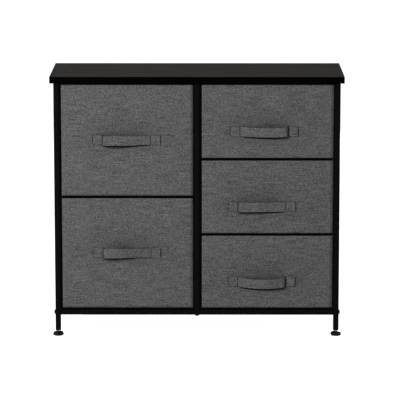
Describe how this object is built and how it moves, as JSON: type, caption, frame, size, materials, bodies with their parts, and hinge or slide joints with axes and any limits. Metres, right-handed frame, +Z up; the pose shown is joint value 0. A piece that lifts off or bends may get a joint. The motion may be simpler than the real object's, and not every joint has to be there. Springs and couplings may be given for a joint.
{
  "type": "fabric drawer dresser",
  "caption": "Chest with a black steel tube frame under a laminated board, holding grey fabric drawers with strap handles, large on the left and small on the right, on levelling feet.",
  "frame": {"origin": "on the floor, under the middle of the tabletop", "axes": "+X to the right seen from the front, +Y from the front to the back, +Z up"},
  "size_m": [0.8, 0.3, 0.72],
  "materials": {
    "laminated_board": "matt black-brown wood-grain laminate",
    "edge_band_plastic": "satin black",
    "powder_coated_steel": "satin black powder coat",
    "blackened_steel": "black oxide",
    "zinc_steel": "zinc plated",
    "black_plastic": "moulded, slightly glossy",
    "drawer_fabric": "heathered grey linen-look weave",
    "fibreboard": "bare fibreboard inside the fabric"
  },
  "bodies": {
    "frame": {"tabletop": "laminated_board", "tabletop_edge_band": "edge_band_plastic", "tabletop_screws": "zinc_steel", "left_front_post": "powder_coated_steel", "left_rear_post": "powder_coated_steel", "right_front_post": "powder_coated_steel", "right_rear_post": "powder_coated_steel", "middle_front_post": "powder_coated_steel", "middle_rear_post": "powder_coated_steel", "left_crossbars": "powder_coated_steel", "middle_crossbars": "powder_coated_steel", "right_crossbars": "powder_coated_steel", "front_bottom_rail": "powder_coated_steel", "rear_bottom_rail": "powder_coated_steel", "rear_top_rails": "powder_coated_steel", "left_runners": "powder_coated_steel", "middle_runners": "powder_coated_steel", "right_runners": "powder_coated_steel", "tube_inserts": "black_plastic", "frame_bolts": "blackened_steel", "rear_rail_stud": "zinc_steel", "leg_plugs": "black_plastic"},
    "left_top_drawer": {"left_top_drawer_cover": "drawer_fabric", "left_top_drawer_front_board": "fibreboard", "left_top_drawer_rear_board": "fibreboard", "left_top_drawer_side_boards": "fibreboard", "left_top_drawer_base_board": "fibreboard", "left_top_drawer_handle": "drawer_fabric"},
    "left_bottom_drawer": {"left_bottom_drawer_cover": "drawer_fabric", "left_bottom_drawer_front_board": "fibreboard", "left_bottom_drawer_rear_board": "fibreboard", "left_bottom_drawer_side_boards": "fibreboard", "left_bottom_drawer_base_board": "fibreboard", "left_bottom_drawer_handle": "drawer_fabric"},
    "right_top_drawer": {"right_top_drawer_cover": "drawer_fabric", "right_top_drawer_front_board": "fibreboard", "right_top_drawer_rear_board": "fibreboard", "right_top_drawer_side_boards": "fibreboard", "right_top_drawer_base_board": "fibreboard", "right_top_drawer_handle": "drawer_fabric"},
    "right_middle_drawer": {"right_middle_drawer_cover": "drawer_fabric", "right_middle_drawer_front_board": "fibreboard", "right_middle_drawer_rear_board": "fibreboard", "right_middle_drawer_side_boards": "fibreboard", "right_middle_drawer_base_board": "fibreboard", "right_middle_drawer_handle": "drawer_fabric"},
    "right_bottom_drawer": {"right_bottom_drawer_cover": "drawer_fabric", "right_bottom_drawer_front_board": "fibreboard", "right_bottom_drawer_rear_board": "fibreboard", "right_bottom_drawer_side_boards": "fibreboard", "right_bottom_drawer_base_board": "fibreboard", "right_bottom_drawer_handle": "drawer_fabric"},
    "left_front_foot": {"left_front_foot_pad": "black_plastic", "left_front_foot_stud": "zinc_steel"},
    "left_rear_foot": {"left_rear_foot_pad": "black_plastic", "left_rear_foot_stud": "zinc_steel"},
    "right_front_foot": {"right_front_foot_pad": "black_plastic", "right_front_foot_stud": "zinc_steel"},
    "right_rear_foot": {"right_rear_foot_pad": "black_plastic", "right_rear_foot_stud": "zinc_steel"}
  },
  "joints": [
    {"name": "left_top_drawer_slide", "type": "slide", "parent": "frame", "child": "left_top_drawer", "axis": [0, -1, 0], "range_m": [0, 0.2]},
    {"name": "left_bottom_drawer_slide", "type": "slide", "parent": "frame", "child": "left_bottom_drawer", "axis": [0, -1, 0], "range_m": [0, 0.2]},
    {"name": "right_top_drawer_slide", "type": "slide", "parent": "frame", "child": "right_top_drawer", "axis": [0, -1, 0], "range_m": [0, 0.2]},
    {"name": "right_middle_drawer_slide", "type": "slide", "parent": "frame", "child": "right_middle_drawer", "axis": [0, -1, 0], "range_m": [0, 0.2]},
    {"name": "right_bottom_drawer_slide", "type": "slide", "parent": "frame", "child": "right_bottom_drawer", "axis": [0, -1, 0], "range_m": [0, 0.2]},
    {"name": "left_front_foot_thread", "type": "slide", "parent": "frame", "child": "left_front_foot", "axis": [0, 0, -1], "range_m": [-0.003, 0.01]},
    {"name": "left_rear_foot_thread", "type": "slide", "parent": "frame", "child": "left_rear_foot", "axis": [0, 0, -1], "range_m": [-0.003, 0.01]},
    {"name": "right_front_foot_thread", "type": "slide", "parent": "frame", "child": "right_front_foot", "axis": [0, 0, -1], "range_m": [-0.003, 0.01]},
    {"name": "right_rear_foot_thread", "type": "slide", "parent": "frame", "child": "right_rear_foot", "axis": [0, 0, -1], "range_m": [-0.003, 0.01]}
  ]
}
